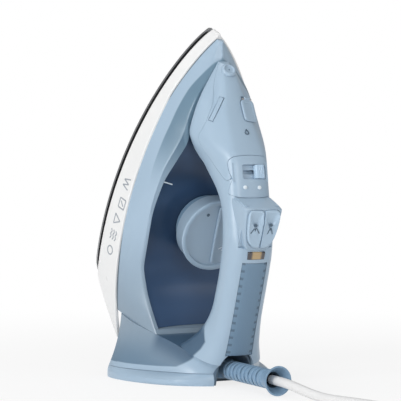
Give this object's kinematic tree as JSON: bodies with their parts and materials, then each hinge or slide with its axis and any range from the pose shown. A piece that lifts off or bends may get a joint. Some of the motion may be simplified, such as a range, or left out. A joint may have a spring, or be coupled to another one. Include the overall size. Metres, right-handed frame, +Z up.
{
  "type": "clothes iron",
  "caption": "Light-blue steam iron standing on its heel, with water tank, temperature dial, steam slider, two push buttons, hinged filler cap and a white cord.",
  "frame": {"origin": "centre of the iron's own box, without its cord set, on the surface it stands on", "axes": "+Z up, tip of the sole at the top; the soleplate faces -X leaning back, the handle and the cord outlet face +X"},
  "size_m": [0.4378, 0.1469, 0.2715],
  "materials": {
    "sole": "brushed sole face",
    "casting": "die-cast, matte",
    "element": "dull sheath",
    "terminal": "plain brass",
    "steel": "zinc-plated",
    "white_plastic": "satin white",
    "light_plastic": "satin light blue",
    "mid_plastic": "satin mid blue",
    "tank_plastic": "dark translucent blue",
    "black_rubber": "matte",
    "pale_plastic": "satin pale blue",
    "inner_plastic": "moulded",
    "hose": "soft silicone",
    "grip_plastic": "fine grain",
    "amber": "translucent amber",
    "lamp_glass": "small neon lamp",
    "bakelite": "moulded",
    "lead": "insulated wire",
    "sleeve_rubber": "soft satin",
    "cord_sheath": "smooth white sheath",
    "tie_plastic": "plain",
    "plug_plastic": "moulded",
    "pin_metal": "nickel on brass"
  },
  "bodies": {
    "root": {"soleplate": "sole", "sole_casting": "casting", "heating_element": "element", "heater_terminals": "terminal", "chamber_cover": "steel", "chamber_screws": "steel", "skirt": "white_plastic", "body_shell": "light_plastic", "tank_top": "tank_plastic", "water_tank": "tank_plastic", "tank_seal": "black_rubber", "front_hood": "light_plastic", "spray_nozzle": "mid_plastic", "filler_funnel": "mid_plastic", "cap_hinge_pin": "steel", "side_inlay": "mid_plastic", "handle_shell": "light_plastic", "slider_panel": "light_plastic", "valve_seat": "terminal", "button_housing": "mid_plastic", "burst_pump": "inner_plastic", "spray_pump": "inner_plastic", "burst_spring": "steel", "spray_spring": "steel", "pump_hoses": "hose", "rear_grip": "grip_plastic", "lamp_lens": "amber", "lamp": "lamp_glass", "dial_collar": "mid_plastic", "thermostat": "bakelite", "thermal_fuse": "inner_plastic", "rear_shell": "light_plastic", "heel_foot": "light_plastic", "heel_screws": "steel", "terminal_block": "inner_plastic", "power_leads": "lead", "cord_bush": "mid_plastic"},
    "dial": {"temperature_dial": "light_plastic", "dial_shaft": "inner_plastic"},
    "slider": {"steam_slider": "pale_plastic"},
    "valve": {"valve_rod": "steel"},
    "burst": {"burst_button": "mid_plastic"},
    "spray": {"spray_button": "mid_plastic"},
    "cap": {"filler_cap": "light_plastic"},
    "cord_lead": {"cord_sleeve": "sleeve_rubber", "cord": "cord_sheath", "cord_coil": "cord_sheath", "coil_tie": "tie_plastic", "plug_body": "plug_plastic", "plug_pins": "pin_metal"}
  },
  "joints": [
    {"name": "dial_turn", "type": "hinge", "parent": "root", "child": "dial", "pos_m": [-0.00684, 0, 0.1178], "axis": [0.9304, 0, -0.3665], "range_deg": [0, 270]},
    {"name": "steam_slide", "type": "slide", "parent": "root", "child": "slider", "axis": [0, 1, 0], "range_m": [-0.01, 0.0018]},
    {"name": "valve_lift", "type": "slide", "parent": "root", "child": "valve", "axis": [-0.9304, 0, 0.3665], "range_m": [-0.00027, 0.0015]},
    {"name": "burst_press", "type": "slide", "parent": "root", "child": "burst", "axis": [-0.9304, 0, 0.3665], "range_m": [0, 0.0035], "stiffness_N_per_m": 400, "springref_m": -0.0008},
    {"name": "spray_press", "type": "slide", "parent": "root", "child": "spray", "axis": [-0.9304, 0, 0.3665], "range_m": [0, 0.0035], "stiffness_N_per_m": 400, "springref_m": -0.0008},
    {"name": "cap_open", "type": "hinge", "parent": "root", "child": "cap", "pos_m": [0.03628, 0.00994, 0.21567], "axis": [0.2165, -0.9703, 0.1079], "range_deg": [0, 100]},
    {"name": "cord_swivel", "type": "hinge", "parent": "root", "child": "cord_lead", "pos_m": [0.01756, 0, 0.0115], "axis": [0, 0, 1], "range_deg": [-9, 9]}
  ],
  "couplings": [
    {"joint": "valve_lift", "follows": "steam_slide", "ratio": -0.15}
  ]
}
